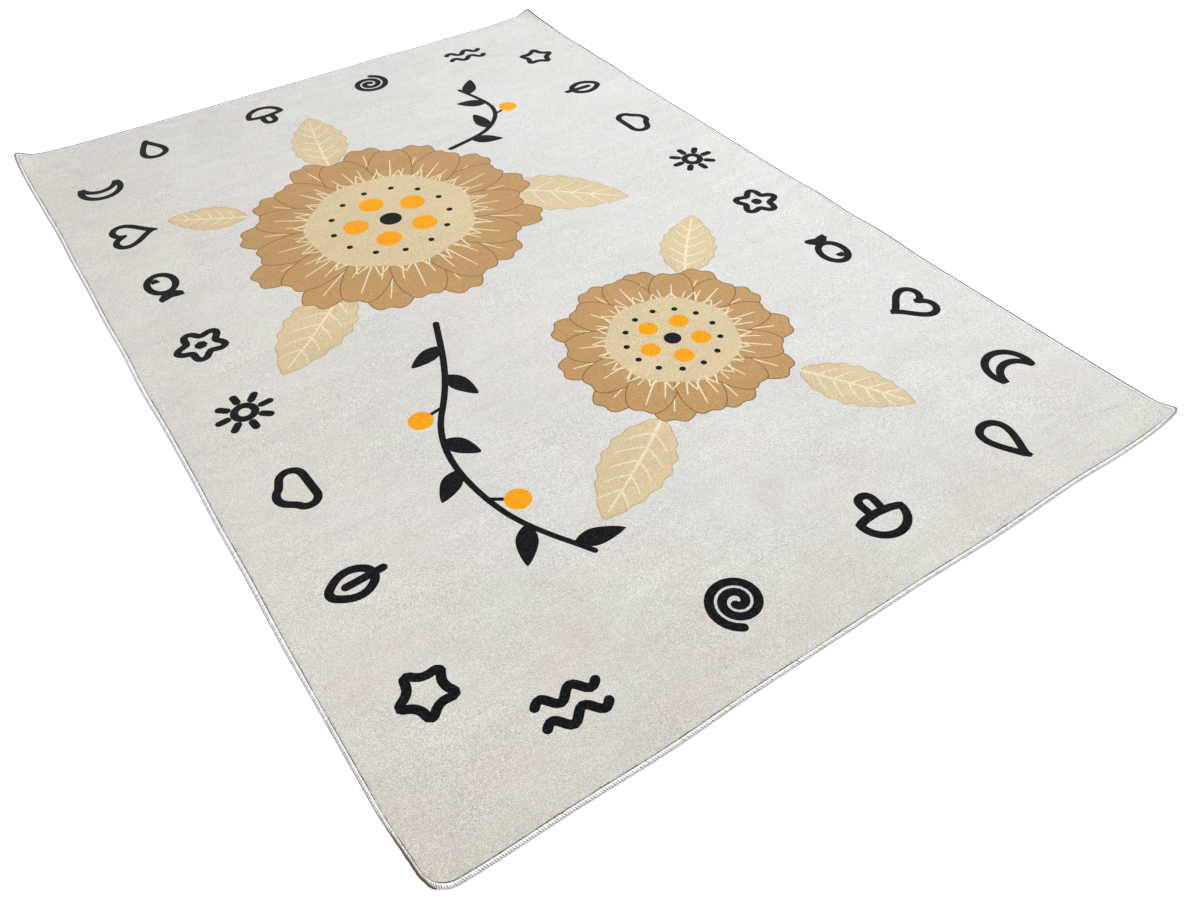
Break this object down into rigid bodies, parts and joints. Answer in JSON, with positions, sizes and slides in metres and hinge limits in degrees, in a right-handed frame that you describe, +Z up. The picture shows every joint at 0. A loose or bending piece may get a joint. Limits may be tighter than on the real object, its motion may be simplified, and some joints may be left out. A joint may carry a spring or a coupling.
{
  "type": "rectangular plush kids rug",
  "caption": "Flat rectangular floor rug of short plush pile with rounded, slightly curled corners and a thick overlocked thread edge.",
  "frame": {"origin": "middle of the underside, on the floor that the rug lies on", "axes": "+X across the rug, +Y along its length, +Z up out of the pile"},
  "size_m": [1.2241, 1.803, 0.0263],
  "materials": {
    "plush_pile": "short off-white polyester plush, matt with a soft sheen, with a printed design",
    "edge_thread": "bulky white overlock thread wound closely over the edge"
  },
  "bodies": {
    "root": {"pile_sheet": "plush_pile", "edge_binding": "edge_thread"}
  },
  "joints": []
}
